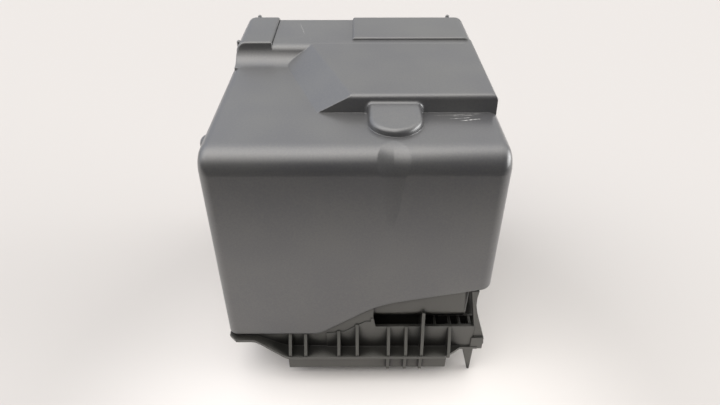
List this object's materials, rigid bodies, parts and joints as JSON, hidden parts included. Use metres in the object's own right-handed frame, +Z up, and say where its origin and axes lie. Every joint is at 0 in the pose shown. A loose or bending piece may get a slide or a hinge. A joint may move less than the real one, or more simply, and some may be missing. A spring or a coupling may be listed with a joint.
{
  "type": "battery tray",
  "caption": "Vehicle battery tray: ribbed base moulding with locating peg, base clamp and sleeves, under a tall lift-off hood with a ramped deck and swooping lower edge.",
  "frame": {"origin": "centre of the four mounting bolts, on the plane that the tray stands on", "axes": "+X to the right of the front, +Y to the rear, +Z up along the mounting bolts"},
  "size_m": [0.2612, 0.2844, 0.2918],
  "materials": {
    "hood_moulding": "satin dark grey polypropylene, fine moulded grain, light scratches",
    "tray_moulding": "satin dark grey-green filled polypropylene, dusty",
    "clamp_moulding": "satin black glass-filled nylon",
    "mat_rubber": "matt black rubber",
    "plated_steel": "zinc plated"
  },
  "bodies": {
    "base": {"tray": "tray_moulding", "battery_mat": "mat_rubber", "hold_down_wedge": "clamp_moulding", "hold_down_bolt": "plated_steel", "hold_down_nut": "plated_steel", "mount_sleeve_1": "plated_steel", "mount_sleeve_2": "plated_steel", "mount_sleeve_3": "plated_steel", "mount_sleeve_4": "plated_steel"},
    "hood": {"cover": "hood_moulding"}
  },
  "joints": [
    {"name": "cover_lift", "type": "slide", "parent": "base", "child": "hood", "axis": [0, 0, 1], "range_m": [0, 0.18]}
  ]
}
